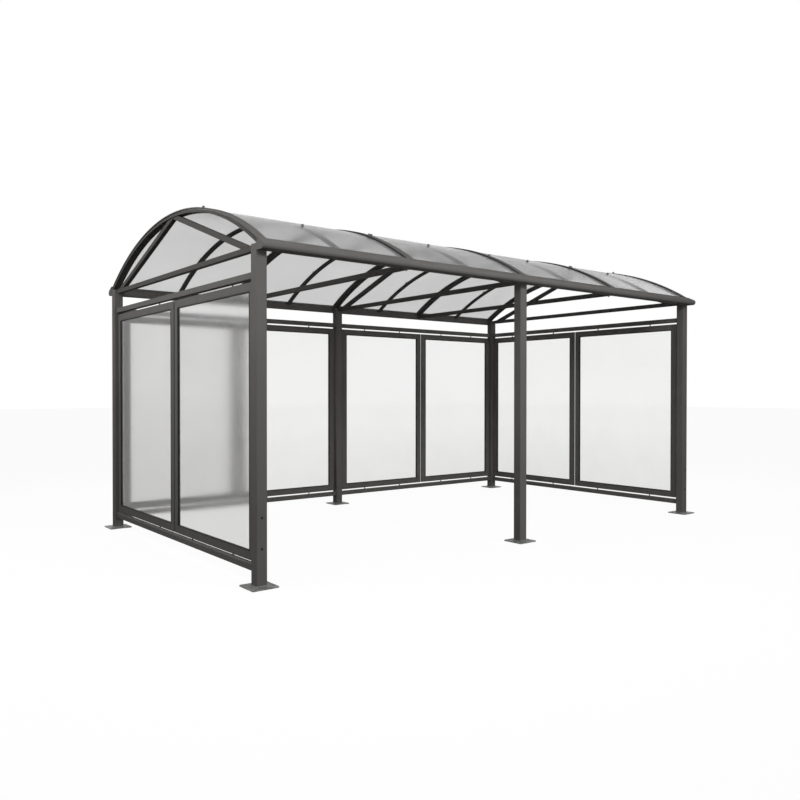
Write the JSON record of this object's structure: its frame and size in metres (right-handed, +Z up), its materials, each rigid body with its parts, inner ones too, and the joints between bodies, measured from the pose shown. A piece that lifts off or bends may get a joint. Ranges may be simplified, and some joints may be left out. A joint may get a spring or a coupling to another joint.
{
  "type": "bike shelter",
  "caption": "Free-standing open-fronted bike shelter: square steel posts, frosted wall panels on three sides and a translucent barrel roof on rolled arches.",
  "frame": {"origin": "centre of the footprint on the ground, at the underside of the base plates", "axes": "+X along the open front from its left end to its right end as seen from outside, +Y from the open front to the back wall, +Z up"},
  "size_m": [5.195, 3.106, 2.7164],
  "materials": {
    "frame_paint": "fine-textured powder coat, dark grey",
    "galvanised_plate": "dull zinc",
    "frosted_pane": "frosted, translucent",
    "roof_sheet": "opal, translucent",
    "roof_cap": "fine-textured powder coat, dark grey"
  },
  "bodies": {
    "root": {"post_front_left": "frame_paint", "post_front_middle": "frame_paint", "post_front_right": "frame_paint", "post_back_left": "frame_paint", "post_back_middle": "frame_paint", "post_back_right": "frame_paint", "base_plates": "galvanised_plate", "rails_left": "frame_paint", "rails_right": "frame_paint", "rails_back": "frame_paint", "panel_frames_left": "frame_paint", "panel_frames_right": "frame_paint", "panel_frames_back": "frame_paint", "panes_left": "frosted_pane", "panes_right": "frosted_pane", "panes_back": "frosted_pane", "tie_1": "frame_paint", "tie_3": "frame_paint", "tie_5": "frame_paint", "tie_7": "frame_paint", "tie_9": "frame_paint", "rafters_1": "frame_paint", "rafters_5": "frame_paint", "rafters_9": "frame_paint", "arch_1": "frame_paint", "arch_2": "frame_paint", "arch_3": "frame_paint", "arch_4": "frame_paint", "arch_5": "frame_paint", "arch_6": "frame_paint", "arch_7": "frame_paint", "arch_8": "frame_paint", "arch_9": "frame_paint", "roof_sheet_1": "roof_sheet", "roof_sheet_2": "roof_sheet", "roof_sheet_3": "roof_sheet", "roof_sheet_4": "roof_sheet", "cap_1": "roof_cap", "cap_3": "roof_cap", "cap_5": "roof_cap", "cap_7": "roof_cap", "cap_9": "roof_cap", "eave_beam_back": "frame_paint", "eave_beam_front": "frame_paint"}
  },
  "joints": []
}
